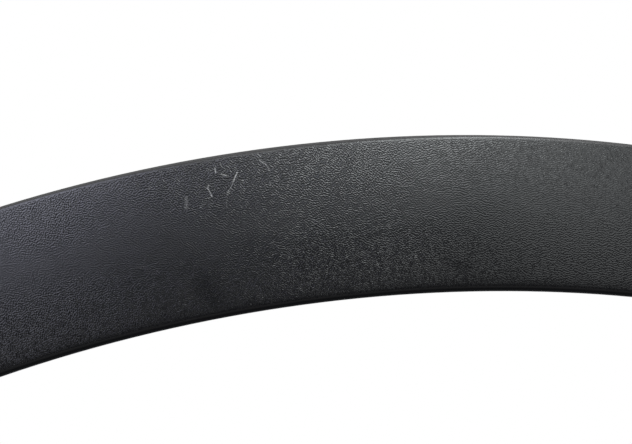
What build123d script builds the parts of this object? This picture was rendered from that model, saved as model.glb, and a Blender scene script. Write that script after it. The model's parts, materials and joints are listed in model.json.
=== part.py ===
from build123d import *

import math
import os

# Wheel arch trim: a moulded plastic band round the top half of a wheel opening, with push-in clips.
#
# Millimetres. The origin is on the wheel's axis, in the plane of the body panel that the trim sits on.
# X runs along the car, Z is up and -Y points away from the car, so the grained face looks along -Y.
# Sections are drawn in two coordinates: the radius from the wheel's axis, and the stand-off, which is
# how far a point stands out from the body panel.

# The band that shows
WHEEL_OPENING_RADIUS = 390.0
BAND_WIDTH = 40.0
LIP_STAND_OFF = 23.0
RIM_STAND_OFF = 3.0
CROWN = 1.5
WALL = 2.5
TOP_EDGE_RADIUS = 2.2
LIP_RADIUS = 1.5
RIM_WALL = 2.6

# The flange that turns into the wheel housing, under the panel's own edge
FLANGE_WALL = 2.2
FLANGE_REACH = 6.0
FLANGE_DRAFT_DEG = 2.0
FLANGE_EDGE_BEVEL = 0.6

# The two lower ends, and the screw tabs that tuck under the neighbouring trims
END_HEIGHT = 18.0
PANEL_CLEARANCE = 0.5
TAB_OFFSET = 22.0
TAB_WIDTH = 26.0
TAB_TAIL = 12.0
TAB_WALL = 2.5
TAB_CORNER_RADIUS = 6.0
SCREW_HOLE_DIAMETER = 6.5

# The push-in clips
CLIP_COUNT = 7
CLIP_OFFSET = 18.0
LOWEST_CLIP_HEIGHT = 85.0
CLIP_BASE_WIDTH = 15.0
CLIP_BASE_CORNER = 3.0
CLIP_BASE_WALL = 1.8
CLIP_NECK_WIDTH = 7.0
CLIP_SEAL_DIAMETER = 18.0
CLIP_SEAL_ROOT_DIAMETER = 10.5
CLIP_SEAL_WALL = 1.0
CLIP_SHANK_WIDTH = 6.0
CLIP_BARB_WIDTH = 10.4
CLIP_BARB_DEPTH = 4.2
CLIP_TIP_WIDTH = 2.4
CLIP_PRONG_LENGTH = 14.5
CLIP_PRONG_WALL = 4.6
CLIP_SLOT_WIDTH = 1.8

# The towers that hold the clips
TOWER_STAND_OFF = 2.6
TOWER_ROOF = 1.8
TOWER_WALL = 1.6
TOWER_CORNER_RADIUS = 1.2
CLIP_CLEARANCE = 0.2

# The gussets between the face and the flange
GUSSETS_PER_BAY = 3
GUSSET_WALL = 1.2
GUSSET_FACE_LENGTH = 17.0
GUSSET_FLANGE_LENGTH = 15.0

# What follows from those sizes
TOP_RADIUS = WHEEL_OPENING_RADIUS + BAND_WIDTH
TAB_X = WHEEL_OPENING_RADIUS + TAB_OFFSET
CLIP_RADIUS = WHEEL_OPENING_RADIUS + CLIP_OFFSET
DRAFT_SLOPE = math.tan(math.radians(FLANGE_DRAFT_DEG))
HALF_TURN = 180.0
LAST_CLIP_DEG = math.degrees(math.acos(LOWEST_CLIP_HEIGHT / CLIP_RADIUS))
CLIP_PITCH_DEG = 2 * LAST_CLIP_DEG / (CLIP_COUNT - 1)
CLIP_ANGLES = [CLIP_PITCH_DEG * k - LAST_CLIP_DEG for k in range(CLIP_COUNT)]

# In this plane a sketch's first coordinate is the radius, and its second is the stand-off.
SECTION = Plane(origin=(0, 0, 0), x_dir=(0, 0, 1), z_dir=(1, 0, 0))
# In this plane, which is the body panel's, a sketch is seen from outside and extruding goes outwards.
PANEL = Plane.XZ

# Corners of the section
RIM_SEAT = Vector(TOP_RADIUS, 0)
RIM = Vector(TOP_RADIUS, RIM_STAND_OFF)
LIP = Vector(WHEEL_OPENING_RADIUS, LIP_STAND_OFF)


def crown_circle():
    """Centre and radius of the arc that the face follows in section."""
    chord = RIM - LIP
    outward = Vector(-chord.Y, chord.X).normalized()
    radius = (chord.length**2 / 4 + CROWN**2) / (2 * CROWN)
    return (RIM + LIP) / 2 - outward * (radius - CROWN), radius


def behind_face(at_radius, depth):
    """The point that lies depth behind the face, at a radius from the wheel's axis."""
    centre, crown_radius = crown_circle()
    rise = math.sqrt((crown_radius - depth) ** 2 - (at_radius - centre.X) ** 2)
    return Vector(at_radius, centre.Y + rise)


def on_flange(at_stand_off, depth):
    """The point that lies depth above the flange's underside, at a stand-off."""
    draft = (LIP_STAND_OFF - at_stand_off) * DRAFT_SLOPE
    return Vector(WHEEL_OPENING_RADIUS + depth + draft, at_stand_off)


def inner_corner(face_depth, flange_depth):
    """Where the surface that deep behind the face meets the one that deep above the flange's underside."""
    centre, crown_radius = crown_circle()
    across = on_flange(0, flange_depth).X - centre.X
    lean = 1 + DRAFT_SLOPE**2
    half_sum = DRAFT_SLOPE * across + centre.Y
    product = across**2 + centre.Y**2 - (crown_radius - face_depth) ** 2
    return on_flange((half_sum + math.sqrt(half_sum**2 - lean * product)) / lean, flange_depth)


def face_arc(start, end, depth):
    """The arc from start to end on the surface that lies depth behind the face."""
    return ThreePointArc(start, behind_face((start.X + end.X) / 2, depth), end)


def corner_of(face, point):
    """The face's corner at a point."""
    return face.vertices().sort_by_distance(Vertex(point.X, point.Y, 0))[0]


def wall_section():
    """The moulding's wall: rim, crowned face, lip and flange."""
    edge_outside = on_flange(-FLANGE_REACH, 0)
    edge_inside = on_flange(-FLANGE_REACH, FLANGE_WALL)
    corner = inner_corner(WALL, FLANGE_WALL)
    rim_inside = behind_face(TOP_RADIUS - RIM_WALL, WALL)
    seat_inside = Vector(rim_inside.X, 0)
    outline = [
        Line(RIM_SEAT, RIM),
        face_arc(RIM, LIP, 0),
        Line(LIP, edge_outside),
        Line(edge_outside, edge_inside),
        Line(edge_inside, corner),
        face_arc(corner, rim_inside, WALL),
        Line(rim_inside, seat_inside),
        Line(seat_inside, RIM_SEAT),
    ]
    section = make_face(outline)
    section = fillet(corner_of(section, RIM), TOP_EDGE_RADIUS)
    section = fillet(corner_of(section, LIP), LIP_RADIUS)
    section = chamfer(corner_of(section, edge_outside), FLANGE_EDGE_BEVEL)
    return chamfer(corner_of(section, edge_inside), FLANGE_EDGE_BEVEL)


def hollow_section():
    """The space behind the face and above the flange, clear of the panel, out to the middle of both walls."""
    corner = inner_corner(WALL / 2, FLANGE_WALL / 2)
    face_end = behind_face(TOP_RADIUS - RIM_WALL / 2, WALL / 2)
    rim_end = Vector(face_end.X, PANEL_CLEARANCE)
    flange_end = on_flange(PANEL_CLEARANCE, FLANGE_WALL / 2)
    outline = [
        Line(flange_end, corner),
        face_arc(corner, face_end, WALL / 2),
        Line(face_end, rim_end),
        Line(rim_end, flange_end),
    ]
    return make_face(outline)


def half_ring(section):
    """A section turned round the upper half of the wheel's axis."""
    start = Rot(0, -HALF_TURN / 2, 0) * (SECTION * section)
    return revolve(start, Axis.Y, HALF_TURN)


def level_slab(bottom, top):
    """Everything between two heights above the wheel's axis."""
    reach = 4 * TOP_RADIUS
    slab = Box(reach, reach, top - bottom, align=(Align.CENTER, Align.CENTER, Align.MIN))
    return Pos(0, 0, bottom) * slab


def band():
    """The band itself: its wall round the arch, with a level wall closing each lower end."""
    wall = half_ring(wall_section()) & level_slab(END_HEIGHT, 2 * TOP_RADIUS)
    ends = half_ring(hollow_section()) & level_slab(END_HEIGHT, END_HEIGHT + WALL)
    return wall + ends


def screw_tab(side):
    """A tab under one end, flat against the panel, with its screw hole level with the wheel's axis."""
    top = END_HEIGHT + WALL / 2
    outline = Pos(0, (top - TAB_TAIL) / 2) * Rectangle(TAB_WIDTH, top + TAB_TAIL)
    outline = fillet(outline.vertices().group_by(Axis.Y)[0], TAB_CORNER_RADIUS)
    outline -= Circle(SCREW_HOLE_DIAMETER / 2)
    return Pos(side * TAB_X, 0, 0) * extrude(PANEL * outline, TAB_WALL)


def gusset():
    """A thin triangular web at the crown of the arch, between the back of the face and the flange."""
    corner = inner_corner(WALL / 2, FLANGE_WALL / 2)
    up_face = behind_face(corner.X + GUSSET_FACE_LENGTH, WALL / 2)
    along_flange = on_flange(corner.Y - GUSSET_FLANGE_LENGTH, FLANGE_WALL / 2)
    outline = [
        face_arc(up_face, corner, WALL / 2),
        Line(corner, along_flange),
        Line(along_flange, up_face),
    ]
    return extrude(SECTION * make_face(outline), GUSSET_WALL / 2, both=True)


def gusset_angles():
    """Angles of the gussets: evenly spaced between the towers, and on past them to the end walls."""
    pitch = CLIP_PITCH_DEG / (GUSSETS_PER_BAY + 1)
    end_wall_top = END_HEIGHT + WALL + GUSSET_WALL
    end_deg = math.degrees(math.acos(end_wall_top / WHEEL_OPENING_RADIUS))
    past_towers = int((end_deg - LAST_CLIP_DEG) / pitch)
    across_towers = (CLIP_COUNT - 1) * (GUSSETS_PER_BAY + 1)
    tower_steps = range(0, across_towers + 1, GUSSETS_PER_BAY + 1)
    steps = range(-past_towers, across_towers + past_towers + 1)
    return [pitch * k - LAST_CLIP_DEG for k in steps if k not in tower_steps]


def tower():
    """A clip tower at the crown of the arch: a box behind the face, open at one side, with a slotted roof."""
    inside = CLIP_BASE_WIDTH / 2 + CLIP_CLEARANCE
    outside = inside + TOWER_WALL
    open_side = CLIP_BASE_WIDTH / 2
    past_mouth = 2 * outside
    roof_inside = TOWER_STAND_OFF + TOWER_ROOF
    slot_width = CLIP_NECK_WIDTH + 2 * CLIP_CLEARANCE

    block = Pos((open_side - outside) / 2, 0) * Rectangle(open_side + outside, 2 * outside)
    block = fillet(block.vertices().group_by(Axis.X)[0], TOWER_CORNER_RADIUS)
    cavity = Pos((past_mouth - inside) / 2, 0) * Rectangle(past_mouth + inside, 2 * inside)
    slot = Pos((past_mouth - slot_width / 2) / 2, 0) * Rectangle(past_mouth + slot_width / 2, slot_width)

    solid = extrude(PANEL.offset(TOWER_STAND_OFF) * block, LIP_STAND_OFF - TOWER_STAND_OFF)
    solid -= extrude(PANEL.offset(roof_inside) * cavity, LIP_STAND_OFF)
    solid -= extrude(PANEL * slot, roof_inside)
    placed = Pos(0, 0, CLIP_RADIUS) * solid
    return placed & half_ring(hollow_section())


def clip_base():
    """A clip's square base and neck, which keep it from turning in its tower, on the panel's axis."""
    neck_top = TOWER_STAND_OFF - CLIP_CLEARANCE
    base_top = TOWER_STAND_OFF + TOWER_ROOF + CLIP_CLEARANCE
    outline = Rectangle(CLIP_BASE_WIDTH, CLIP_BASE_WIDTH)
    outline = chamfer(outline.vertices(), CLIP_BASE_CORNER)
    neck = Rectangle(CLIP_NECK_WIDTH, CLIP_NECK_WIDTH)
    base = extrude(PANEL.offset(base_top) * outline, CLIP_BASE_WALL)
    return base + extrude(PANEL.offset(neck_top) * neck, base_top - neck_top)


def clip_seal():
    """A clip's dished skirt, which seals against the panel, on the panel's axis."""
    outside = TOWER_STAND_OFF - CLIP_CLEARANCE
    inside = outside - CLIP_SEAL_WALL
    root = CLIP_SEAL_ROOT_DIAMETER / 2
    edge = CLIP_SEAL_DIAMETER / 2
    outline = Polyline((0, outside), (root, outside), (edge, 0), (root, inside), (0, inside), close=True)
    return revolve(SECTION * make_face(outline), Axis.Y, 2 * HALF_TURN)


def clip_prong():
    """The arrowhead that snaps in behind the panel, split so that its two sides can spring."""
    root = CLIP_SHANK_WIDTH / 2
    barb = CLIP_BARB_WIDTH / 2
    tip = CLIP_TIP_WIDTH / 2
    root_depth = -TOWER_STAND_OFF
    # Seen from above, depth behind the panel runs along +Y.
    half = [(root, root_depth), (root, 0), (barb, CLIP_BARB_DEPTH), (tip, CLIP_PRONG_LENGTH)]
    other_half = [(-x, depth) for x, depth in reversed(half)]
    arrow = make_face(Polyline(*half, *other_half, close=True))
    slot_length = CLIP_PRONG_LENGTH - CLIP_TIP_WIDTH
    arrow -= Pos(0, slot_length / 2) * Rectangle(CLIP_SLOT_WIDTH, slot_length)
    return extrude(arrow, CLIP_PRONG_WALL / 2, both=True)


def turned_to(shape, angle_deg):
    """A shape at the crown of the arch, turned round the wheel's axis."""
    return Rot(0, angle_deg, 0) * shape


def arch_moulding():
    """The one moulding: band, end walls, screw tabs, gussets and clip towers."""
    one_gusset = gusset()
    one_tower = tower()
    pieces = [screw_tab(side) for side in (-1, 1)]
    pieces += [turned_to(one_gusset, angle) for angle in gusset_angles()]
    pieces += [turned_to(one_tower, angle) for angle in CLIP_ANGLES]
    return band().fuse(*pieces).clean()


def retaining_clips():
    """The push-in clips, one in each tower."""
    one_clip = Pos(0, 0, CLIP_RADIUS) * (clip_base() + clip_seal() + clip_prong())
    return Compound(children=[turned_to(one_clip, angle) for angle in CLIP_ANGLES])


os.makedirs("parts", exist_ok=True)
export_step(arch_moulding(), "parts/arch_moulding.step")
export_step(retaining_clips(), "parts/retaining_clips.step")
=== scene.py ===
import json
import math

import bmesh
import bpy
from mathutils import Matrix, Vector

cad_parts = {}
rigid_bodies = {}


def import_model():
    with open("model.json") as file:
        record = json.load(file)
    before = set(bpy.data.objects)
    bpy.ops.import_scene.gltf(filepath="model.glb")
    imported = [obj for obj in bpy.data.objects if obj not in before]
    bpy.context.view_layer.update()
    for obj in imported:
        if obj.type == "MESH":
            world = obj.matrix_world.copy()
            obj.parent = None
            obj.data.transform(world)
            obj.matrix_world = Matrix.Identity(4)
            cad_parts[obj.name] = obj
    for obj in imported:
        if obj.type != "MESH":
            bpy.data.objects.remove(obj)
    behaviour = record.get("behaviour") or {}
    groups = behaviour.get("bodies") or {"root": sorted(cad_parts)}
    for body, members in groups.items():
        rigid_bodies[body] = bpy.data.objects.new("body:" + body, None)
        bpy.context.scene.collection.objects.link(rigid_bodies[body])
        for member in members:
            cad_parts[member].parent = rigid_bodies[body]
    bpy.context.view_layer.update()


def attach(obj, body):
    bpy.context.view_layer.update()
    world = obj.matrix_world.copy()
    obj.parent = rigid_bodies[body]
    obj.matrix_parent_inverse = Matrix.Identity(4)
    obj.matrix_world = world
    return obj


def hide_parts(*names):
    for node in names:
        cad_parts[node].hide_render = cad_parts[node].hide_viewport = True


# The looks of a wheel arch trim: a grained plastic band round a wheel opening, with push-in clips.
#
# Sizes are in millimetres and become metres where a mesh is made. The origin is on the wheel's axis, in the
# plane of the body panel. X runs along the car, Z is up, and -Y points away from the car. Sections are drawn
# in two coordinates: the radius from the wheel's axis, and the stand-off from the body panel.

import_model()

MM = 0.001

# The band that shows
WHEEL_OPENING_RADIUS = 390.0
BAND_WIDTH = 40.0
LIP_STAND_OFF = 23.0
RIM_STAND_OFF = 3.0
CROWN = 1.5
WALL = 2.5
TOP_EDGE_RADIUS = 2.2
LIP_RADIUS = 1.5
RIM_WALL = 2.6

# The flange that turns into the wheel housing
FLANGE_WALL = 2.2
FLANGE_REACH = 6.0
FLANGE_DRAFT_DEG = 2.0
FLANGE_EDGE_ROUND = 0.6

# The two lower ends and their screw tabs
END_HEIGHT = 18.0
PANEL_CLEARANCE = 0.5
TAB_OFFSET = 22.0
TAB_WIDTH = 26.0
TAB_TAIL = 12.0
TAB_WALL = 2.5
TAB_CORNER_RADIUS = 6.0
TAB_EDGE_ROUND = 0.5
SCREW_HOLE_DIAMETER = 6.5

# The push-in clips
CLIP_COUNT = 7
CLIP_OFFSET = 18.0
LOWEST_CLIP_HEIGHT = 85.0
CLIP_BASE_WIDTH = 15.0
CLIP_BASE_CORNER = 3.0
CLIP_BASE_WALL = 1.8
CLIP_NECK_WIDTH = 7.0
CLIP_SEAL_DIAMETER = 18.0
CLIP_SEAL_ROOT_DIAMETER = 10.5
CLIP_SEAL_WALL = 1.0
CLIP_SEAL_EDGE = 0.25
CLIP_SHANK_WIDTH = 6.0
CLIP_BARB_WIDTH = 10.4
CLIP_BARB_DEPTH = 4.2
CLIP_TIP_WIDTH = 2.4
CLIP_PRONG_LENGTH = 14.5
CLIP_PRONG_WALL = 4.6
CLIP_SLOT_WIDTH = 1.8
CLIP_EDGE_ROUND = 0.3

# The towers that hold the clips
TOWER_STAND_OFF = 2.6
TOWER_ROOF = 1.8
TOWER_WALL = 1.6
TOWER_CORNER_RADIUS = 1.2
CLIP_CLEARANCE = 0.2

# The gussets between the face and the flange
GUSSETS_PER_BAY = 3
GUSSET_WALL = 1.2
GUSSET_FACE_LENGTH = 17.0
GUSSET_FLANGE_LENGTH = 15.0

# What follows from those sizes
TOP_RADIUS = WHEEL_OPENING_RADIUS + BAND_WIDTH
MID_RADIUS = WHEEL_OPENING_RADIUS + BAND_WIDTH / 2
TAB_X = WHEEL_OPENING_RADIUS + TAB_OFFSET
CLIP_RADIUS = WHEEL_OPENING_RADIUS + CLIP_OFFSET
DRAFT_SLOPE = math.tan(math.radians(FLANGE_DRAFT_DEG))
LAST_CLIP_TURN = math.acos(LOWEST_CLIP_HEIGHT / CLIP_RADIUS)
CLIP_PITCH = 2 * LAST_CLIP_TURN / (CLIP_COUNT - 1)
TOWER_ROOF_TOP = TOWER_STAND_OFF + TOWER_ROOF
CLIP_BASE_STAND_OFF = TOWER_ROOF_TOP + CLIP_CLEARANCE
RIM = Vector((TOP_RADIUS, RIM_STAND_OFF))
LIP = Vector((WHEEL_OPENING_RADIUS, LIP_STAND_OFF))

# How finely the meshes follow their curves
BAND_STEPS = 240
FACE_STEPS = 28
BACK_STEPS = 14
EDGE_STEPS = 10
SMALL_STEPS = 4
ROUND_STEPS = 48
BEVEL_STEPS = 2
SHARP_ANGLE = math.radians(32)
FLAT_ANGLE = math.radians(1)
MERGE_GAP = 0.0005

# The grain's wrinkles, drawn as coarse as a picture of this size can show. They run with the band, more in
# line to the right, and slant at the left. They are deepest a little left of the crown and run out near both
# edges of the face. Each change has the two places, along the band's middle from the crown, where it starts
# and ends. The waves are how many wrinkles lie side by side before they wander. The order is how far they
# keep to one way, from 0 to 1.
GRAIN_PITCH = 0.565
GRAIN_DEPTH = 0.029
GRAIN_WAVES = 1.6
LEFT_ORDER = 0.27
RIGHT_ORDER = 0.62
ORDER_CHANGE = (-35.0, 25.0)
LEFT_SLANT = math.radians(24.0)
SLANT_CHANGE = (-112.0, -76.0)
LEFT_DEPTH = 0.80
LEFT_DEPTH_CHANGE = (-84.0, -38.0)
RIGHT_DEPTH = 0.59
RIGHT_DEPTH_CHANGE = (-30.0, 14.0)
RUN_OUT = 1.0
GRAIN_FOOT = LIP_RADIUS
GRAIN_TOP = BAND_WIDTH - RUN_OUT / 4

# Marks on the face: the half-width, the strength and the points of each stroke. A point is given along the
# band's middle from the crown, and up from the lip.
SCUFFS = [
    (0.23, 0.60, [(-66.9, 33.2), (-67.2, 32.5), (-66.9, 31.5), (-66.5, 30.3)]),
    (0.30, 0.80, [(-66.6, 30.6), (-66.5, 30.2)]),
    (0.27, 0.80, [(-64.6, 37.1), (-64.6, 36.0)]),
    (0.26, 0.85, [(-63.2, 35.4), (-61.9, 34.7)]),
    (0.27, 0.88, [(-59.1, 35.2), (-59.9, 34.0), (-60.4, 33.1)]),
    (0.22, 0.28, [(-60.4, 33.1), (-61.4, 31.6), (-62.3, 30.6)]),
    (0.30, 0.60, [(-62.2, 30.7), (-62.4, 30.5)]),
    (0.22, 0.15, [(-62.3, 30.6), (-62.7, 29.6), (-63.3, 27.0)]),
    (0.32, 0.75, [(-58.1, 33.0), (-57.9, 32.9)]),
    (0.23, 0.72, [(-52.9, 37.4), (-52.2, 36.8), (-51.4, 36.1)]),
    (0.24, 0.45, [(-51.4, 36.1), (-51.1, 35.4), (-50.8, 34.7)]),
    (0.24, 0.40, [(-51.1, 31.6), (-51.1, 30.7)]),
    (0.80, 0.20, [(-73.1, 31.0), (-73.6, 28.7)]),
    (0.45, 0.30, [(-73.1, 30.5), (-73.2, 30.1)]),
    (0.45, 0.24, [(-73.8, 28.8), (-73.4, 28.6)]),
    (0.60, 0.09, [(-68.6, 29.0), (-69.8, 28.1)]),
    (0.45, 0.22, [(-21.4, 17.9), (-21.4, 17.4)]),
    (0.45, 0.12, [(-19.8, 21.6), (-19.8, 21.2)]),
    (0.40, 0.08, [(-20.1, 30.0), (-20.1, 29.2)]),
]
SMUDGES = [
    (2.4, 0.32, [(-4.2, 6.9), (-1.0, 6.5)]),
    (6.0, 0.40, [(-72.0, 9.0), (-70.6, 5.0)]),
]

# A scuff is broken into crumbs: their size, the levels of the noise at their edges, and what is left between
SCUFF_CRUMB = 0.5
CRUMB_EDGE = (0.35, 0.60)
LEAST_SCUFFED = 0.55

# The face's gloss at its fullest and at its least. It is cut to its least at the lip, as painted shade, less
# and less, by a power, up to a height, and in part at the rim, to hold back the lamps' glint there.
FULL_GLOSS = 0.5
LEAST_GLOSS = 0.05
LIP_SHADE_FROM = 0.8 * LIP_RADIUS
LIP_SHADE_HEIGHT = 9.0
LIP_SHADE_POWER = 4.0
RIM_GLINT_CUT = 0.4

# The plastics, with the least and the most roughness where it varies
POLYPROPYLENE_IOR = 1.49
ACETAL_IOR = 1.48
FACE_ROUGHNESS = 0.30
BACK_ROUGHNESS = (0.38, 0.56)
CLIP_ROUGHNESS = (0.36, 0.50)

# The back's flow marks and how many times longer than wide they are, its tool marks, the clouds in the
# acetal, and the levels between which most of a noise lies
FLOW_MARK = 9.0
FLOW_STRETCH = 4.0
TOOL_MARK = 0.5
TOOL_MARK_DEPTH = 0.02
CLOUD = 3.0
NOISE_SPREAD = (0.3, 0.7)

# The studio's floor, and between which distances from the origin it turns white
FLOOR_MIDDLE_RADIUS = 700.0
FLOOR_RADIUS = 14000.0
FLOOR_EDGE = 400.0
FLOOR_RISE = 2400.0
WHITE_FROM = 380.0
WHITE_BY = 900.0

# The lamps: azimuth and elevation in degrees, distance, width and height in metres, radiance and colour
WHITE = "#ffffff"
DAYLIGHT = "#e7e9fd"
LAMPLIGHT = "#f9feff"
LAMPS = {
    "left_window": (-75, 57, 2.0, 0.87, 0.84, 6.9, DAYLIGHT),
    "left_lamp": (-59, 36, 2.0, 1.47, 0.81, 2.85, DAYLIGHT),
    "right_softbox": (39, 54, 2.0, 0.94, 1.77, 2.47, LAMPLIGHT),
    "overhead_lamp": (65, 79, 2.0, 1.68, 0.25, 16.2, LAMPLIGHT),
    "rear_backdrop": (180, 55, 2.6, 4.0, 2.4, 1.2, WHITE),
    "left_rim_lamp": (-95, 81, 2.0, 0.4, 0.3, 7.2, WHITE),
    "right_rim_lamp": (96, 62, 2.0, 0.3, 0.4, 6.5, WHITE),
}
AIR_LIGHT = 0.04

# The camera, with its angles in degrees, and the photograph's focal length and width in pixels
CAMERA_AIM = Vector((-39.22, 0.13, 406.03))
CAMERA_AZIMUTH = -5.583
CAMERA_ELEVATION = 8.678
CAMERA_DISTANCE = 278.7
NEAREST_SEEN = 10.0
SENSOR_WIDTH = 36.0
FOCAL_LENGTH_PX = 1000
PHOTO_WIDTH_PX = 632


# Small tools

def linear(hex_colour):
    """An sRGB hex colour as the linear colour that a socket takes."""
    shares = [int(hex_colour[k : k + 2], 16) / 255 for k in (1, 3, 5)]
    return tuple(s / 12.92 if s <= 0.04045 else ((s + 0.055) / 1.055) ** 2.4 for s in shares) + (1.0,)


def add(tree, kind, inputs=(), **settings):
    """Adds a node to a tree, with its settings, and with its inputs set to values or linked to outputs."""
    made = tree.nodes.new(kind)
    for name, value in settings.items():
        setattr(made, name, value)
    for key, value in dict(inputs).items():
        if isinstance(value, bpy.types.Node):
            value = value.outputs[0]
        if isinstance(value, bpy.types.NodeSocket):
            tree.links.new(value, made.inputs[key])
        else:
            made.inputs[key].default_value = value
    return made


def new_tree(name, sizes):
    """A Geometry Nodes tree with a geometry in and out, and its named inputs as name and socket type."""
    tree = bpy.data.node_groups.new(name, "GeometryNodeTree")
    tree.interface.new_socket("Geometry", in_out="OUTPUT", socket_type="NodeSocketGeometry")
    tree.interface.new_socket("Geometry", in_out="INPUT", socket_type="NodeSocketGeometry")
    for size, kind in sizes:
        tree.interface.new_socket(size, in_out="INPUT", socket_type=kind)
    return tree, add(tree, "NodeGroupInput")


def new_object(name, data, collection=None):
    """An object for a mesh, lamp or camera, in a collection or straight in the scene."""
    made = bpy.data.objects.new(name, data)
    (collection or bpy.context.scene.collection).objects.link(made)
    return made


def worked(obj, tree, **sizes):
    """Runs a tree on an object, with the tree's named inputs set, and keeps the result as its plain mesh."""
    modifier = obj.modifiers.new(tree.name, "NODES")
    modifier.node_group = tree
    for item in tree.interface.items_tree:
        size = item.name.replace(" ", "_").lower()
        if item.in_out == "INPUT" and size in sizes:
            modifier[item.identifier] = sizes[size]
    bpy.context.view_layer.update()
    evaluated = obj.evaluated_get(bpy.context.evaluated_depsgraph_get())
    mesh = bpy.data.meshes.new_from_object(evaluated)
    obj.modifiers.remove(modifier)
    obj.data = mesh
    return obj


def drawn(shape, name, collection):
    """Keeps a drawn shape as an object, with its faces turned outwards."""
    bmesh.ops.recalc_face_normals(shape, faces=shape.faces[:])
    mesh = bpy.data.meshes.new(name)
    shape.to_mesh(mesh)
    shape.free()
    return new_object(name, mesh, collection)


def arc(centre, start, end, steps):
    """Points from start to end round a centre, the shorter way."""
    from_centre = start - centre
    first = math.atan2(from_centre.y, from_centre.x)
    swing = from_centre.angle_signed(end - centre)
    turns = [first - swing * k / steps for k in range(steps + 1)]
    return [centre + Vector((math.cos(t), math.sin(t))) * from_centre.length for t in turns]


def block(left, bottom, right, top):
    """The four corners of a rectangle."""
    return [Vector((left, bottom)), Vector((right, bottom)), Vector((right, top)), Vector((left, top))]


def circle(diameter):
    """Points round a circle at the origin."""
    turns = [2 * math.pi * k / ROUND_STEPS for k in range(ROUND_STEPS)]
    return [Vector((math.cos(t), math.sin(t))) * diameter / 2 for t in turns]


def rounded(outline, radii, steps=SMALL_STEPS):
    """An outline of corners, with those whose radius isn't zero rounded."""
    points = []
    for k, corner in enumerate(outline):
        if not radii[k]:
            points.append(corner)
            continue
        back = (outline[k - 1] - corner).normalized()
        ahead = (outline[(k + 1) % len(outline)] - corner).normalized()
        half = back.angle(ahead) / 2
        cut = radii[k] / math.tan(half)
        centre = corner + (back + ahead).normalized() * radii[k] / math.sin(half)
        points += arc(centre, corner + back * cut, corner + ahead * cut, steps)
    return points


def prism(name, loops, low, high, edge_round, placed, collection):
    """A plate between two levels, from an outline and its holes, with rounded edges, and put in place."""
    shape = bmesh.new()
    for loop in loops:
        ring = [shape.verts.new((p.x, p.y, low)) for p in loop]
        for k, vertex in enumerate(ring):
            shape.edges.new((ring[k - 1], vertex))
    bmesh.ops.triangle_fill(shape, use_beauty=True, edges=shape.edges[:])
    raised = bmesh.ops.extrude_face_region(shape, geom=shape.faces[:])["geom"]
    for part in raised:
        if isinstance(part, bmesh.types.BMVert):
            part.co.z = high
    bmesh.ops.recalc_face_normals(shape, faces=shape.faces[:])
    bmesh.ops.dissolve_limit(shape, angle_limit=FLAT_ANGLE, verts=shape.verts[:], edges=shape.edges[:])
    if edge_round:
        sharp = [e for e in shape.edges if e.calc_face_angle() > SHARP_ANGLE]
        level = [e for e in sharp if e.verts[0].co.z == e.verts[1].co.z]
        round_off = {"offset": edge_round, "segments": BEVEL_STEPS, "profile": 0.5, "affect": "EDGES"}
        bmesh.ops.bevel(shape, geom=level, **round_off)
    for vertex in shape.verts:
        vertex.co = placed(*vertex.co) * MM
    shape.normal_update()
    return drawn(shape, name, collection)


def turned(name, profile, filled, placed, collection=None):
    """A shape turned from a profile of radii and levels, with the given rings filled, and put in place."""
    shape = bmesh.new()
    rings = []
    for radius, level in profile:
        rings.append([shape.verts.new(placed(p.x, p.y, level) * MM) for p in circle(2 * radius)])
    for low, high in zip(rings, rings[1:]):
        for k in range(ROUND_STEPS):
            shape.faces.new((low[k - 1], low[k], high[k], high[k - 1]))
    for end in filled:
        shape.faces.new(rings[end])
    return drawn(shape, name, collection)


# The section of the moulding

def crown_circle():
    """Centre and radius of the arc that the face follows."""
    chord = RIM - LIP
    outward = Vector((-chord.y, chord.x)).normalized()
    radius = (chord.length_squared / 4 + CROWN**2) / (2 * CROWN)
    return (RIM + LIP) / 2 - outward * (radius - CROWN), radius


def behind_face(at_radius, depth):
    """The point that lies depth behind the face, at a radius from the wheel's axis."""
    centre, crown_radius = crown_circle()
    rise = math.sqrt((crown_radius - depth) ** 2 - (at_radius - centre.x) ** 2)
    return Vector((at_radius, centre.y + rise))


def on_flange(at_stand_off, depth):
    """The point that lies depth above the flange's underside, at a stand-off."""
    draft = (LIP_STAND_OFF - at_stand_off) * DRAFT_SLOPE
    return Vector((WHEEL_OPENING_RADIUS + depth + draft, at_stand_off))


def meets_arc(start, along, arc_radius):
    """Where a line from start, going along, leaves the circle round the crown's centre."""
    centre, _ = crown_circle()
    lean = (start - centre).dot(along)
    reach = math.sqrt(lean**2 - (start - centre).length_squared + arc_radius**2)
    return start + along * (reach - lean)


def inner_corner(face_depth, flange_depth):
    """Where the surface that deep behind the face meets the one that deep above the flange's underside."""
    start = on_flange(0, flange_depth)
    along = (on_flange(LIP_STAND_OFF, flange_depth) - start).normalized()
    return meets_arc(start, along, crown_circle()[1] - face_depth)


def edge_fillet(start, along, inward, radius):
    """A fillet between a straight side and the face: its points from the side to the face."""
    centre, crown_radius = crown_circle()
    middle = meets_arc(start + inward * radius, along, crown_radius - radius)
    on_face = centre + (middle - centre).normalized() * crown_radius
    return arc(middle, middle - inward * radius, on_face, EDGE_STEPS)


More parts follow.
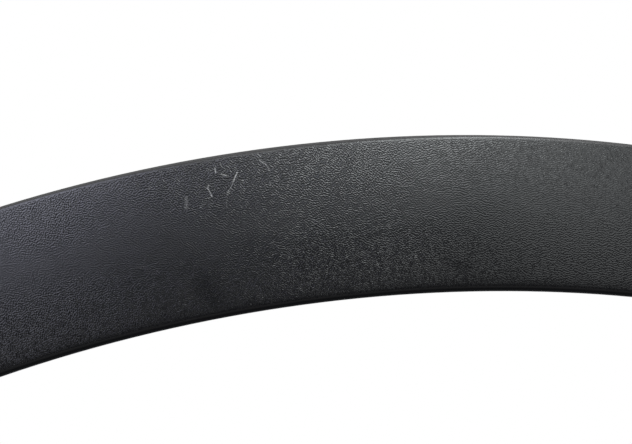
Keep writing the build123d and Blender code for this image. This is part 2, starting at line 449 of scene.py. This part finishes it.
def section_outline():
    """The moulding's section, as points marked where they are on the grained face."""
    centre, _ = crown_circle()
    seat = Vector((TOP_RADIUS, 0))
    rim_round = edge_fillet(seat, Vector((0, 1)), Vector((-1, 0)), TOP_EDGE_RADIUS)
    flange_out = on_flange(-FLANGE_REACH, 0)
    flange_in = on_flange(-FLANGE_REACH, FLANGE_WALL)
    up_flange = (LIP - flange_out).normalized()
    lip_round = edge_fillet(flange_out, up_flange, Vector((up_flange.y, -up_flange.x)), LIP_RADIUS)
    corner = inner_corner(WALL, FLANGE_WALL)
    rim_inside = behind_face(TOP_RADIUS - RIM_WALL, WALL)
    corners = [lip_round[0], flange_out, flange_in, corner]
    flange = rounded(corners, [0, FLANGE_EDGE_ROUND, FLANGE_EDGE_ROUND, 0])[1:-1]
    grained = rim_round[:-1] + arc(centre, rim_round[-1], lip_round[-1], FACE_STEPS) + lip_round[-2:0:-1]
    plain = [lip_round[0]] + flange + arc(centre, corner, rim_inside, BACK_STEPS)
    plain += [Vector((rim_inside.x, 0)), seat]
    return [(p, 1.0) for p in grained] + [(p, 0.0) for p in plain]


def hollow_outline():
    """The space behind the face and above the flange, clear of the panel, out to both walls' middles."""
    centre, _ = crown_circle()
    corner = inner_corner(WALL / 2, FLANGE_WALL / 2)
    face_end = behind_face(TOP_RADIUS - RIM_WALL / 2, WALL / 2)
    rim_end = Vector((face_end.x, PANEL_CLEARANCE))
    return arc(centre, corner, face_end, BACK_STEPS) + [rim_end, on_flange(PANEL_CLEARANCE, FLANGE_WALL / 2)]


# Geometry Nodes trees

def sweeping_tree():
    """Sweeps a section round the arch, to ends that are level, and gives each zone its material."""
    tree, given = new_tree("swept_round_arch", [
        ("End Height", "NodeSocketFloat"),
        ("Steps", "NodeSocketInt"),
        ("Grained", "NodeSocketMaterial"),
        ("Plain", "NodeSocketMaterial"),
    ])
    at = add(tree, "ShaderNodeSeparateXYZ", {0: add(tree, "GeometryNodeInputPosition")})
    # The section keeps its radius and stand-off, and a straight path its share of the turn to either end
    section = given.outputs["Geometry"]
    for name, value in (("from_axis", at.outputs["X"]), ("stand_off", at.outputs["Y"])):
        sockets = {"Geometry": section, "Name": name, "Value": value}
        section = add(tree, "GeometryNodeStoreNamedAttribute", sockets)
    section = add(tree, "GeometryNodeMeshToCurve", {"Mesh": section})
    path = add(tree, "GeometryNodeCurvePrimitiveLine", {"Start": (-1, 0, 0), "End": (1, 0, 0)})
    path = add(tree, "GeometryNodeResampleCurve", {"Curve": path, "Count": given.outputs["Steps"]})
    sockets = {"Geometry": path, "Name": "turn", "Value": at.outputs["X"]}
    path = add(tree, "GeometryNodeStoreNamedAttribute", sockets)
    sockets = {"Curve": path, "Profile Curve": section, "Fill Caps": True}
    swept = add(tree, "GeometryNodeCurveToMesh", sockets)
    # Each point then goes round the arch, as far as its own radius lets it at the ends' height
    radius, stand_off, turn = [
        add(tree, "GeometryNodeInputNamedAttribute", {"Name": name})
        for name in ("from_axis", "stand_off", "turn")
    ]
    level = add(tree, "ShaderNodeMath", {0: given.outputs["End Height"], 1: radius}, operation="DIVIDE")
    last = add(tree, "ShaderNodeMath", {0: level}, operation="ARCCOSINE")
    angle = add(tree, "ShaderNodeMath", {0: turn, 1: last}, operation="MULTIPLY")
    across = add(tree, "ShaderNodeMath", {0: angle}, operation="SINE")
    up = add(tree, "ShaderNodeMath", {0: angle}, operation="COSINE")
    x = add(tree, "ShaderNodeMath", {0: radius, 1: across}, operation="MULTIPLY")
    y = add(tree, "ShaderNodeMath", {0: stand_off, 1: -1.0}, operation="MULTIPLY")
    z = add(tree, "ShaderNodeMath", {0: radius, 1: up}, operation="MULTIPLY")
    place = add(tree, "ShaderNodeCombineXYZ", {0: x, 1: y, 2: z})
    shape = add(tree, "GeometryNodeSetPosition", {"Geometry": swept, "Position": place})
    # A facet is grained where all its corners are, which makes its share 1
    shape = add(tree, "GeometryNodeSetMaterial", {"Geometry": shape, "Material": given.outputs["Plain"]})
    share = add(tree, "GeometryNodeInputNamedAttribute", {"Name": "grained"})
    whole = add(tree, "FunctionNodeCompare", {"A": share, "B": 0.99}, operation="GREATER_THAN")
    sockets = {"Geometry": shape, "Selection": whole, "Material": given.outputs["Grained"]}
    shape = add(tree, "GeometryNodeSetMaterial", sockets)
    add(tree, "NodeGroupOutput", {0: add(tree, "GeometryNodeRealizeInstances", {0: shape})})
    return tree


def repeating_tree():
    """Repeats a piece round the wheel's axis at an even pitch, but not where another takes the place."""
    tree, given = new_tree("repeated_round_arch", [
        ("Count", "NodeSocketInt"),
        ("First", "NodeSocketFloat"),
        ("Pitch", "NodeSocketFloat"),
        ("Taken Each", "NodeSocketInt"),
        ("Taken From", "NodeSocketInt"),
        ("Material", "NodeSocketMaterial"),
    ])
    index = add(tree, "GeometryNodeInputIndex")
    step = add(tree, "ShaderNodeMath", {0: index, 1: given.outputs["Pitch"]}, operation="MULTIPLY")
    angle = add(tree, "ShaderNodeMath", {0: step, 1: given.outputs["First"]}, operation="ADD")
    turn = add(tree, "FunctionNodeAxisAngleToRotation", {"Axis": (0, 1, 0), "Angle": angle})
    since = add(tree, "ShaderNodeMath", {0: index, 1: given.outputs["Taken From"]}, operation="SUBTRACT")
    # A place is taken where nothing is left over
    sockets = {0: since, 1: given.outputs["Taken Each"]}
    past = add(tree, "ShaderNodeMath", sockets, operation="FLOORED_MODULO")
    free = add(tree, "FunctionNodeCompare", {"A": past, "B": 0.5}, operation="GREATER_THAN")
    spots = add(tree, "GeometryNodePoints", {"Count": given.outputs["Count"]})
    sockets = {"Points": spots, "Selection": free, "Instance": given.outputs["Geometry"], "Rotation": turn}
    copies = add(tree, "GeometryNodeInstanceOnPoints", sockets)
    whole = add(tree, "GeometryNodeRealizeInstances", {0: copies})
    sockets = {"Geometry": whole, "Material": given.outputs["Material"]}
    add(tree, "NodeGroupOutput", {0: add(tree, "GeometryNodeSetMaterial", sockets)})
    return tree


def fusing_tree():
    """Fuses a piece with the closed pieces of a collection into one solid."""
    tree, given = new_tree("fused_solid", [
        ("Fittings", "NodeSocketCollection"),
        ("Merge Gap", "NodeSocketFloat"),
    ])
    sockets = {0: given.outputs["Fittings"], "Separate Children": True}
    fittings = add(tree, "GeometryNodeCollectionInfo", sockets)
    solid = add(tree, "GeometryNodeMeshBoolean", operation="UNION", solver="MANIFOLD")
    tree.links.new(given.outputs["Geometry"], solid.inputs[1])
    tree.links.new(fittings.outputs[0], solid.inputs[1])
    whole = add(tree, "GeometryNodeRealizeInstances", {0: solid})
    sockets = {0: whole, "Distance": given.outputs["Merge Gap"]}
    add(tree, "NodeGroupOutput", {0: add(tree, "GeometryNodeMergeByDistance", sockets)})
    return tree


# Materials

def new_material(name):
    """A material with its shader, ready for settings."""
    material = bpy.data.materials.new(name)
    material.use_nodes = True
    return material, material.node_tree, material.node_tree.nodes["Principled BSDF"]


def place_on_face(tree):
    """A spot's place on the band in millimetres: along its middle from the crown, and up from the lip."""
    spot = add(tree, "ShaderNodeTexCoord").outputs["Object"]
    at = add(tree, "ShaderNodeSeparateXYZ", {0: spot})
    turn = add(tree, "ShaderNodeMath", {0: at.outputs["X"], 1: at.outputs["Z"]}, operation="ARCTAN2")
    along = add(tree, "ShaderNodeMath", {0: turn, 1: MID_RADIUS}, operation="MULTIPLY")
    level = add(tree, "ShaderNodeVectorMath", {0: spot, 1: (1 / MM, 0, 1 / MM)}, operation="MULTIPLY")
    radius = add(tree, "ShaderNodeVectorMath", {0: level}, operation="LENGTH").outputs["Value"]
    up = add(tree, "ShaderNodeMath", {0: radius, 1: WHEEL_OPENING_RADIUS}, operation="SUBTRACT")
    return along, up


def stretch_mark(tree, spot, start, end, half_width, strength):
    """How strongly a straight stretch of a stroke marks a spot: full on its line, fading to its sides."""
    run = end - start
    inward = run / run.length_squared
    ahead = add(tree, "ShaderNodeVectorMath", {0: spot, 1: (*start, 0)}, operation="SUBTRACT")
    share = add(tree, "ShaderNodeVectorMath", {0: ahead, 1: (*inward, 0)}, operation="DOT_PRODUCT")
    share = add(tree, "ShaderNodeClamp", {"Value": share.outputs["Value"]})
    nearest = add(tree, "ShaderNodeVectorMath", {0: (*run, 0), "Scale": share}, operation="SCALE")
    gap = add(tree, "ShaderNodeVectorMath", {0: ahead, 1: nearest}, operation="DISTANCE").outputs["Value"]
    sockets = {"Value": gap, "From Max": half_width, "To Min": strength, "To Max": 0.0}
    return add(tree, "ShaderNodeMapRange", sockets, interpolation_type="SMOOTHSTEP")


def marked(tree, spot, marks):
    """How strongly a list of marks shows at a spot on the face."""
    shown = None
    for half_width, strength, stroke in marks:
        for start, end in zip(stroke, stroke[1:]):
            mark = stretch_mark(tree, spot, Vector(start), Vector(end), half_width, strength)
            shown = add(tree, "ShaderNodeMath", {0: mark, 1: shown}, operation="MAXIMUM") if shown else mark
    return shown


def eased(tree, *changes):
    """Smooth changes, multiplied: each has a value, its start and end, and the level before and after."""
    whole = None
    for value, start, end, before, after in changes:
        sockets = {"Value": value, "From Min": start, "From Max": end, "To Min": before, "To Max": after}
        level = add(tree, "ShaderNodeMapRange", sockets, interpolation_type="SMOOTHSTEP")
        whole = add(tree, "ShaderNodeMath", {0: whole, 1: level}, operation="MULTIPLY") if whole else level
    return whole


def moulded_grain(tree, along, up):
    """Wrinkles of an even pitch that wander over the face and run out at its edges, as a bump."""
    across = math.pi / 2
    sockets = {
        "Vector": add(tree, "ShaderNodeCombineXYZ", {0: along, 1: up}),
        "Scale": 1 / (GRAIN_WAVES * GRAIN_PITCH),
        "Frequency": GRAIN_WAVES,
        "Anisotropy": eased(tree, (along, *ORDER_CHANGE, LEFT_ORDER, RIGHT_ORDER)),
        "Orientation": eased(tree, (along, *SLANT_CHANGE, across + LEFT_SLANT, across)),
    }
    phase = add(tree, "ShaderNodeTexGabor", sockets, gabor_type="2D").outputs["Phase"]
    phase = add(tree, "ShaderNodeMath", {0: phase, 1: 2 * math.pi}, operation="MULTIPLY")
    wrinkle = add(tree, "ShaderNodeMath", {0: phase}, operation="COSINE")
    depth = eased(
        tree,
        (up, GRAIN_FOOT, GRAIN_FOOT + RUN_OUT, 0.0, 1.0),
        (up, GRAIN_TOP - RUN_OUT, GRAIN_TOP, 1.0, 0.0),
        (along, *LEFT_DEPTH_CHANGE, LEFT_DEPTH, 1.0),
        (along, *RIGHT_DEPTH_CHANGE, 1.0, RIGHT_DEPTH),
    )
    return add(tree, "ShaderNodeBump", {"Strength": depth, "Height": wrinkle, "Distance": GRAIN_DEPTH * MM})


def scuffed_colour(tree, spot):
    """Black that scuffs turn pale, in crumbs of about the grain's own size."""
    crumbs = add(tree, "ShaderNodeTexNoise", {"Vector": spot, "Scale": 1 / SCUFF_CRUMB, "Detail": 1.0})
    kept = eased(tree, (crumbs, *CRUMB_EDGE, LEAST_SCUFFED, 1.0))
    scuffed = add(tree, "ShaderNodeMath", {0: marked(tree, spot, SCUFFS), 1: kept}, operation="MULTIPLY")
    sockets = {0: scuffed, 6: linear("#0b0b0d"), 7: linear("#a9a8a4")}
    return add(tree, "ShaderNodeMix", sockets, data_type="RGBA").outputs[2]


def gloss_with_painted_shade(tree, spot, up):
    """The face's gloss: it is cut at the lip as painted shade, in part at the rim against glint, and two
    greasy smudges throw back less light.
    """
    # Painted shade: the lip throws back less light, most at its edge and less and less up the face
    sockets = {"Value": up, "From Min": LIP_SHADE_FROM, "From Max": LIP_SHADE_HEIGHT, "To Min": 1.0, "To Max": 0.0}
    lip = add(tree, "ShaderNodeMapRange", sockets)
    lip = add(tree, "ShaderNodeMath", {0: lip, 1: LIP_SHADE_POWER}, operation="POWER")
    # Less gloss at the rim holds back the lamps' glint there
    rim = eased(tree, (up, BAND_WIDTH - RUN_OUT, BAND_WIDTH, 0.0, RIM_GLINT_CUT))
    edges = add(tree, "ShaderNodeMath", {0: lip, 1: rim}, operation="MAXIMUM")
    dull = add(tree, "ShaderNodeMath", {0: edges, 1: marked(tree, spot, SMUDGES)}, operation="MAXIMUM")
    sockets = {"Value": dull, "To Min": FULL_GLOSS, "To Max": LEAST_GLOSS}
    return add(tree, "ShaderNodeMapRange", sockets).outputs[0]


def grained_polypropylene():
    """Black polypropylene moulded against a leather-grained tool: wrinkles break the light into specks."""
    material, tree, shader = new_material("grained_black_polypropylene")
    shader.inputs["IOR"].default_value = POLYPROPYLENE_IOR
    shader.inputs["Roughness"].default_value = FACE_ROUGHNESS
    along, up = place_on_face(tree)
    spot = add(tree, "ShaderNodeCombineXYZ", {0: along, 1: up})
    tree.links.new(scuffed_colour(tree, spot), shader.inputs["Base Color"])
    # The specular level is lowered at the lip as painted shade, at the rim against glint, and at two smudges
    tree.links.new(gloss_with_painted_shade(tree, spot, up), shader.inputs["Specular IOR Level"])
    tree.links.new(moulded_grain(tree, along, up).outputs[0], shader.inputs["Normal"])
    return material


def mottled(tree, shader, pattern, colours, roughness):
    """Lets a soft pattern carry a plastic's colour and roughness from the first of each to the second."""
    sockets = {0: pattern, 6: linear(colours[0]), 7: linear(colours[1])}
    colour = add(tree, "ShaderNodeMix", sockets, data_type="RGBA")
    tree.links.new(colour.outputs[2], shader.inputs["Base Color"])
    low, high = NOISE_SPREAD
    least, most = roughness
    sockets = {"Value": pattern, "From Min": low, "From Max": high, "To Min": least, "To Max": most}
    dull = add(tree, "ShaderNodeMapRange", sockets)
    tree.links.new(dull.outputs[0], shader.inputs["Roughness"])


def flow_marks(tree):
    """Soft, long marks where the melt ran into the tool, from 0 to 1, in step with the band's own run."""
    along, up = place_on_face(tree)
    run = add(tree, "ShaderNodeMath", {0: along, 1: 1 / FLOW_STRETCH}, operation="MULTIPLY")
    at = add(tree, "ShaderNodeSeparateXYZ", {0: add(tree, "ShaderNodeTexCoord").outputs["Object"]})
    depth = add(tree, "ShaderNodeMath", {0: at.outputs["Y"], 1: 1 / MM}, operation="MULTIPLY")
    spot = add(tree, "ShaderNodeCombineXYZ", {0: run, 1: up, 2: depth})
    return add(tree, "ShaderNodeTexNoise", {"Vector": spot, "Scale": 1 / FLOW_MARK, "Detail": 3.0})


def plain_polypropylene():
    """The same plastic where the tool was left as cut: smooth black, a soft sheen and faint flow marks."""
    material, tree, shader = new_material("plain_black_polypropylene")
    shader.inputs["IOR"].default_value = POLYPROPYLENE_IOR
    mottled(tree, shader, flow_marks(tree), ("#161618", "#232326"), BACK_ROUGHNESS)
    # The cutter's fine marks, drawn coarser than they are so that they show
    spot = add(tree, "ShaderNodeTexCoord").outputs["Object"]
    cuts = add(tree, "ShaderNodeTexNoise", {"Vector": spot, "Scale": 1 / (TOOL_MARK * MM), "Detail": 2.0})
    bump = add(tree, "ShaderNodeBump", {"Strength": 1.0, "Height": cuts, "Distance": TOOL_MARK_DEPTH * MM})
    tree.links.new(bump.outputs[0], shader.inputs["Normal"])
    return material


def natural_acetal():
    """Uncoloured acetal, as clips are moulded from: a waxy off-white, a little cloudy, with a soft sheen."""
    material, tree, shader = new_material("natural_acetal")
    shader.inputs["IOR"].default_value = ACETAL_IOR
    spot = add(tree, "ShaderNodeTexCoord").outputs["Object"]
    cloud = add(tree, "ShaderNodeTexNoise", {"Vector": spot, "Scale": 1 / (CLOUD * MM), "Detail": 2.0})
    mottled(tree, shader, cloud, ("#d8d2c2", "#e8e5da"), CLIP_ROUGHNESS)
    return material


def white_studio_paper():
    """Matt white paper that keeps the object's shadow near it, and looks pure white further away."""
    material, tree, shader = new_material("white_studio_paper")
    shader.inputs["Base Color"].default_value = linear("#cccccc")
    shader.inputs["Roughness"].default_value = 0.9
    shader.inputs["Specular IOR Level"].default_value = 0.0
    spot = add(tree, "ShaderNodeTexCoord").outputs["Object"]
    away = add(tree, "ShaderNodeVectorMath", {0: spot}, operation="LENGTH").outputs["Value"]
    sockets = {"Value": away, "From Min": WHITE_FROM * MM, "From Max": WHITE_BY * MM}
    far = add(tree, "ShaderNodeMapRange", sockets, interpolation_type="SMOOTHERSTEP")
    path = add(tree, "ShaderNodeLightPath")
    seen = path.outputs["Is Camera Ray"]
    for ray in ("Is Glossy Ray", "Is Transmission Ray"):
        seen = add(tree, "ShaderNodeMath", {0: seen, 1: path.outputs[ray]}, operation="MAXIMUM")
    share = add(tree, "ShaderNodeMath", {0: seen, 1: far}, operation="MULTIPLY")
    glow = add(tree, "ShaderNodeEmission", {"Color": linear(WHITE), "Strength": 1.0})
    mixed = add(tree, "ShaderNodeMixShader", {0: share, 1: shader, 2: glow})
    tree.links.new(mixed.outputs[0], tree.nodes["Material Output"].inputs["Surface"])
    return material


GRAINED = grained_polypropylene()
PLAIN = plain_polypropylene()
ACETAL = natural_acetal()


# The moulding

def at_crown(x, radius, stand_off):
    """A point at the crown of the arch."""
    return Vector((x, -stand_off, radius))


def at_clip(x, up, stand_off):
    """A point at the clip's place at the crown, across and up from the clip's own axis."""
    return at_crown(x, CLIP_RADIUS + up, stand_off)


def at_each_clip(piece, repeat, material):
    """Repeats a piece at all the clips' places, with none of them taken."""
    return worked(
        piece, repeat, count=CLIP_COUNT, first=-LAST_CLIP_TURN, pitch=CLIP_PITCH,
        taken_each=CLIP_COUNT + 1, taken_from=-1, material=material,
    )


def swept_band():
    """The band itself, swept from its section."""
    points = section_outline()
    mesh = bpy.data.meshes.new("band_section")
    edges = [(k, (k + 1) % len(points)) for k in range(len(points))]
    mesh.from_pydata([(p.x * MM, p.y * MM, 0) for p, _ in points], edges, [])
    mark = mesh.attributes.new("grained", "FLOAT", "POINT")
    mark.data.foreach_set("value", [grained for _, grained in points])
    band = new_object("band", mesh)
    return worked(
        band, sweeping_tree(), end_height=END_HEIGHT * MM, steps=BAND_STEPS + 1,
        grained=GRAINED, plain=PLAIN,
    )


def end_wall(side, fittings):
    """The level wall that closes one lower end."""
    def placed(radius, stand_off, height):
        return Vector((side * math.sqrt(radius**2 - height**2), -stand_off, height))
    return prism("end_wall", [hollow_outline()], END_HEIGHT, END_HEIGHT + WALL, 0, placed, fittings)


def screw_tab(side, fittings):
    """A tab under one end, with its screw hole level with the wheel's axis."""
    def placed(x, height, stand_off):
        return Vector((side * TAB_X + x, -stand_off, height))
    half = TAB_WIDTH / 2
    corners = block(-half, -TAB_TAIL, half, END_HEIGHT + WALL / 2)
    outline = rounded(corners, [TAB_CORNER_RADIUS, TAB_CORNER_RADIUS, 0, 0], EDGE_STEPS)
    loops = [outline, circle(SCREW_HOLE_DIAMETER)]
    return prism("screw_tab", loops, 0, TAB_WALL, TAB_EDGE_ROUND, placed, fittings)


def gussets(repeat, fittings):
    """The thin webs between the back of the face and the flange, all but where the towers stand."""
    def placed(radius, stand_off, x):
        return at_crown(x, radius, stand_off)
    centre, _ = crown_circle()
    corner = inner_corner(WALL / 2, FLANGE_WALL / 2)
    up_face = behind_face(corner.x + GUSSET_FACE_LENGTH, WALL / 2)
    foot = on_flange(corner.y - GUSSET_FLANGE_LENGTH, FLANGE_WALL / 2)
    outline = arc(centre, corner, up_face, SMALL_STEPS) + [foot]
    one = prism("gussets", [outline], -GUSSET_WALL / 2, GUSSET_WALL / 2, 0, placed, fittings)
    bays = GUSSETS_PER_BAY + 1
    pitch = CLIP_PITCH / bays
    last = math.acos((END_HEIGHT + WALL + GUSSET_WALL) / WHEEL_OPENING_RADIUS)
    past = int((last - LAST_CLIP_TURN) / pitch)
    return worked(
        one, repeat, count=(CLIP_COUNT - 1) * bays + 1 + 2 * past, first=-LAST_CLIP_TURN - past * pitch,
        pitch=pitch, taken_each=bays, taken_from=past, material=PLAIN,
    )


def towers(repeat, fittings):
    """The slotted boxes that the clips slide into."""
    inside = CLIP_BASE_WIDTH / 2 + CLIP_CLEARANCE
    outside = inside + TOWER_WALL
    mouth = CLIP_BASE_WIDTH / 2
    slot = CLIP_NECK_WIDTH / 2 + CLIP_CLEARANCE

    def to_face(x, up, share):
        face = behind_face(math.hypot(x, CLIP_RADIUS + up), WALL / 2)
        low = (TOWER_STAND_OFF + TOWER_ROOF_TOP) / 2
        return at_clip(x, up, low + (face.y - low) * share)

    def open_box(reach):
        points = block(-outside, -outside, mouth, outside)
        points = rounded(points, [TOWER_CORNER_RADIUS, 0, 0, TOWER_CORNER_RADIUS])
        cut = points.index(Vector((mouth, outside)))
        notch = [Vector(p) for p in ((mouth, -reach), (-reach, -reach), (-reach, reach), (mouth, reach))]
        return points[:cut] + notch + points[cut:]

    roofs = prism("tower_roofs", [open_box(slot)], TOWER_STAND_OFF, TOWER_ROOF_TOP, 0, at_clip, fittings)
    walls = prism("tower_walls", [open_box(inside)], 0, 1, 0, to_face, fittings)
    return [at_each_clip(piece, repeat, PLAIN) for piece in (roofs, walls)]


def fused(piece, fittings, name):
    """One closed solid from a piece and its fittings, with smooth shading and crisp edges."""
    worked(piece, fusing_tree(), fittings=fittings, merge_gap=MERGE_GAP * MM)
    for fitting in list(fittings.objects):
        bpy.data.objects.remove(fitting)
    bpy.data.collections.remove(fittings)
    piece.name = name
    piece.data.name = name
    piece.data.shade_smooth()
    piece.data.set_sharp_from_angle(angle=SHARP_ANGLE)
    return piece


def new_fittings(name):
    """An empty collection for the pieces that are fused together."""
    made = bpy.data.collections.new(name)
    bpy.context.scene.collection.children.link(made)
    return made


def arch_moulding(repeat):
    """The whole moulding as one piece."""
    fittings = new_fittings("moulding_fittings")
    for side in (-1, 1):
        end_wall(side, fittings).data.materials.append(PLAIN)
        screw_tab(side, fittings).data.materials.append(PLAIN)
    gussets(repeat, fittings)
    towers(repeat, fittings)
    return fused(swept_band(), fittings, "grained_arch_moulding")


# The clips

def clip_skirt(fittings):
    """The dished skirt that seals against the panel, turned about the clip's own axis."""
    outside = TOWER_STAND_OFF - CLIP_CLEARANCE
    inside = outside - CLIP_SEAL_WALL
    root = CLIP_SEAL_ROOT_DIAMETER / 2
    edge = CLIP_SEAL_DIAMETER / 2
    profile = [(root, outside), (edge, CLIP_SEAL_EDGE), (edge, 0), (root, inside)]
    return turned("skirt", profile, (0, -1), at_clip, fittings)


def clip_prong(fittings):
    """The split arrowhead that snaps in behind the panel."""
    def placed(x, depth, up):
        return at_clip(x, up, -depth)
    half = [
        (CLIP_SHANK_WIDTH / 2, -TOWER_STAND_OFF), (CLIP_SHANK_WIDTH / 2, 0),
        (CLIP_BARB_WIDTH / 2, CLIP_BARB_DEPTH), (CLIP_TIP_WIDTH / 2, CLIP_PRONG_LENGTH),
    ]
    outline = [Vector(p) for p in half] + [Vector((-x, depth)) for x, depth in reversed(half)]
    slot = block(-CLIP_SLOT_WIDTH / 2, 0, CLIP_SLOT_WIDTH / 2, CLIP_PRONG_LENGTH - CLIP_TIP_WIDTH)
    wall = CLIP_PRONG_WALL / 2
    return prism("prong", [outline, slot], -wall, wall, CLIP_EDGE_ROUND, placed, fittings)


def clip_neck(fittings):
    """The square neck that stands in the tower's slot, from the skirt into the base."""
    half = CLIP_NECK_WIDTH / 2
    low = TOWER_STAND_OFF - CLIP_CLEARANCE - CLIP_SEAL_WALL / 2
    high = CLIP_BASE_STAND_OFF + CLIP_BASE_WALL / 2
    return prism("neck", [block(-half, -half, half, half)], low, high, 0, at_clip, fittings)


def clip_base():
    """The square base with cut corners that lies behind the tower's roof."""
    half = CLIP_BASE_WIDTH / 2
    cut = half - CLIP_BASE_CORNER
    quarter = [(half, -cut), (half, cut), (cut, half), (-cut, half)]
    outline = [Vector(p) for p in quarter + [(-x, -y) for x, y in quarter]]
    high = CLIP_BASE_STAND_OFF + CLIP_BASE_WALL
    return prism("clip_base", [outline], CLIP_BASE_STAND_OFF, high, CLIP_EDGE_ROUND, at_clip, None)


def retaining_clips(repeat):
    """The push-in clips, one in each tower."""
    fittings = new_fittings("clip_fittings")
    clip_skirt(fittings)
    clip_prong(fittings)
    clip_neck(fittings)
    clip = fused(clip_base(), fittings, "acetal_retaining_clips")
    return at_each_clip(clip, repeat, ACETAL)


repeat_round_arch = repeating_tree()
moulding = arch_moulding(repeat_round_arch)
clips = retaining_clips(repeat_round_arch)

for piece, node, slot_name in ((moulding, "arch_moulding", "trim"), (clips, "retaining_clips", "clip")):
    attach(piece, "root")
    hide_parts(node)


# The studio: floor, lights and camera

def studio_floor():
    """A wide pale floor, level with the screw tabs' lower edges, that turns up at its far edge."""
    def placed(x, y, height):
        return Vector((x, y, height - TAB_TAIL))
    profile = [(FLOOR_MIDDLE_RADIUS, 0), (FLOOR_RADIUS, 0), (FLOOR_RADIUS + FLOOR_EDGE, FLOOR_RISE)]
    floor = turned("studio_floor", profile, (0,), placed)
    floor.data.materials.append(white_studio_paper())


def aimed(obj, aim, azimuth_deg, elevation_deg, distance):
    """Sets a lamp or camera at a distance from a point, turned to it. Azimuth 0 is in front of the face."""
    azimuth = math.radians(azimuth_deg)
    elevation = math.radians(elevation_deg)
    level = math.cos(elevation)
    back = Vector((math.sin(azimuth) * level, -math.cos(azimuth) * level, math.sin(elevation)))
    obj.location = aim + back * distance
    obj.rotation_euler = back.to_track_quat("Z", "Y").to_euler()


def softbox(name, azimuth_deg, elevation_deg, distance, width, height, radiance, hex_colour):
    """An area light that looks at the crown of the arch, out of the camera's sight."""
    lamp = bpy.data.lights.new(name, "AREA")
    lamp.shape = "RECTANGLE"
    lamp.size = width
    lamp.size_y = height
    lamp.color = linear(hex_colour)[:3]
    lamp.energy = radiance * math.pi * width * height
    lit = new_object(name, lamp)
    lit.visible_camera = False
    aimed(lit, Vector((0, 0, MID_RADIUS)) * MM, azimuth_deg, elevation_deg, distance)


def studio_air():
    """The faint even light of the room."""
    world = bpy.data.worlds.new("studio_air")
    world.use_nodes = True
    air = world.node_tree.nodes["Background"]
    air.inputs["Color"].default_value = linear(WHITE)
    air.inputs["Strength"].default_value = AIR_LIGHT
    bpy.context.scene.world = world


def photo_camera():
    """The camera, where the photograph was taken from."""
    data = bpy.data.cameras.new("photo_camera")
    data.sensor_width = SENSOR_WIDTH
    data.lens = FOCAL_LENGTH_PX * SENSOR_WIDTH / PHOTO_WIDTH_PX
    data.clip_start = NEAREST_SEEN * MM
    camera = new_object("photo_camera", data)
    aimed(camera, CAMERA_AIM * MM, CAMERA_AZIMUTH, CAMERA_ELEVATION, CAMERA_DISTANCE * MM)
    bpy.context.scene.camera = camera


studio_floor()
for lamp_name, settings in LAMPS.items():
    softbox(lamp_name, *settings)
studio_air()
photo_camera()
bpy.context.scene.view_settings.view_transform = "Standard"
